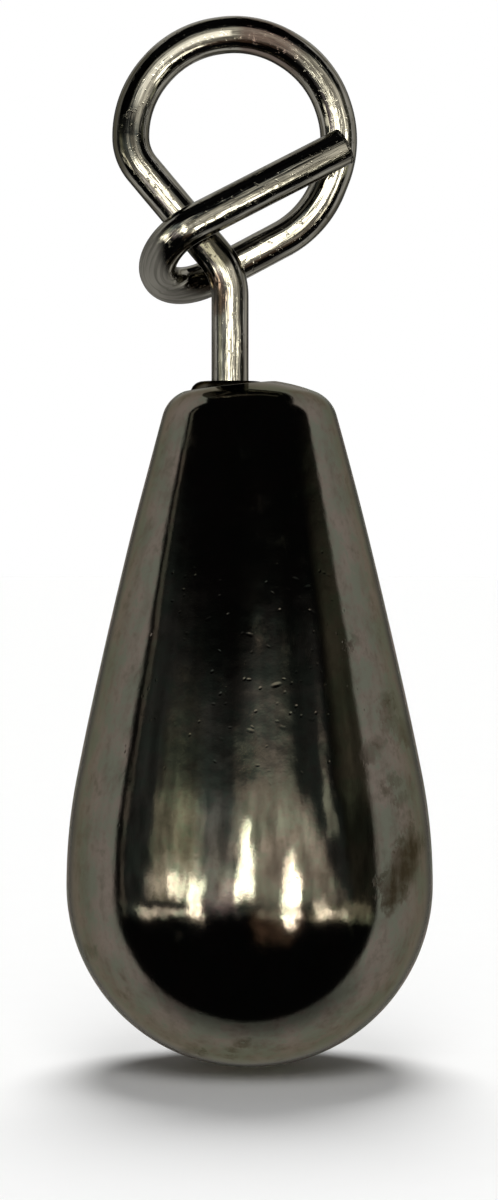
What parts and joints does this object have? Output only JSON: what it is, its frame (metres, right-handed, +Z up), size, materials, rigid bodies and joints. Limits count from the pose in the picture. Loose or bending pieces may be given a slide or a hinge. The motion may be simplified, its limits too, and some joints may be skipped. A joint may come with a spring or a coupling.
{
  "type": "fishing sinker",
  "caption": "Teardrop drop-shot sinker of polished dark metal, with a bent-wire line clip that swivels in its top and grips the line without a knot.",
  "frame": {"origin": "inside of the eye's top, on the swivel axis, where the line pulls", "axes": "+Z up along the stem, which is the swivel axis; +X to the right and +Y to the back of the clip as the picture shows it"},
  "size_m": [0.0088, 0.0088, 0.0252],
  "materials": {
    "polished_tungsten": "hand-polished tungsten alloy, dark grey mirror with small pits",
    "plated_brass": "dark nickel plating over brass",
    "cured_epoxy": "cured adhesive, dark and glossy",
    "spring_wire": "bright drawn spring wire"
  },
  "bodies": {
    "clip": {"line_clip": "spring_wire"},
    "weight": {"sinker_body": "polished_tungsten", "swivel_barrel": "plated_brass", "epoxy_bond": "cured_epoxy"}
  },
  "joints": [
    {"name": "clip_swivel", "type": "hinge", "parent": "clip", "child": "weight", "pos_m": [0, 0, -0.0082], "axis": [0, 0, 1], "continuous": true}
  ]
}
